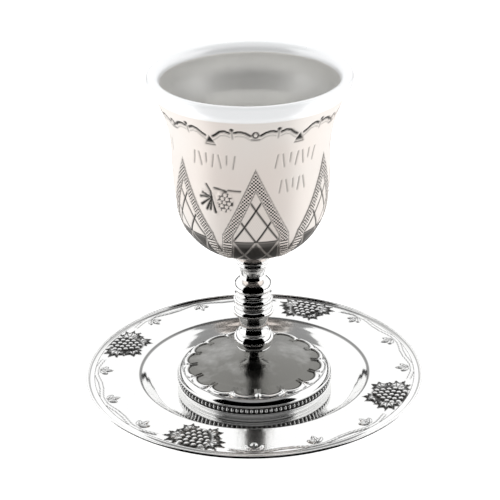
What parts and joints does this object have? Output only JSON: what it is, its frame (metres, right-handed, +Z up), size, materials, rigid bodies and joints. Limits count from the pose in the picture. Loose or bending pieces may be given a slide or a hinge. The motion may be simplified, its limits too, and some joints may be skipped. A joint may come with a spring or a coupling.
{
  "type": "kiddush cup with saucer",
  "caption": "Silver kiddush cup: open bowl with a thick flared lip, ringed baluster stem and scalloped foot, standing in the well of a broad-rimmed saucer.",
  "frame": {"origin": "middle of the saucer's flat underside, where the set rests on the table", "axes": "+Z up along the cup's turning axis; -Y is the front, where one triangle panel of the bowl is centred"},
  "size_m": [0.14, 0.14, 0.1377],
  "materials": {
    "satin_silver": "satin silver plate with dark engraved lines",
    "bright_silver": "mirror-polished silver plate"
  },
  "bodies": {
    "root": {"bowl": "satin_silver", "stem": "bright_silver", "foot": "bright_silver", "saucer": "bright_silver"}
  },
  "joints": []
}
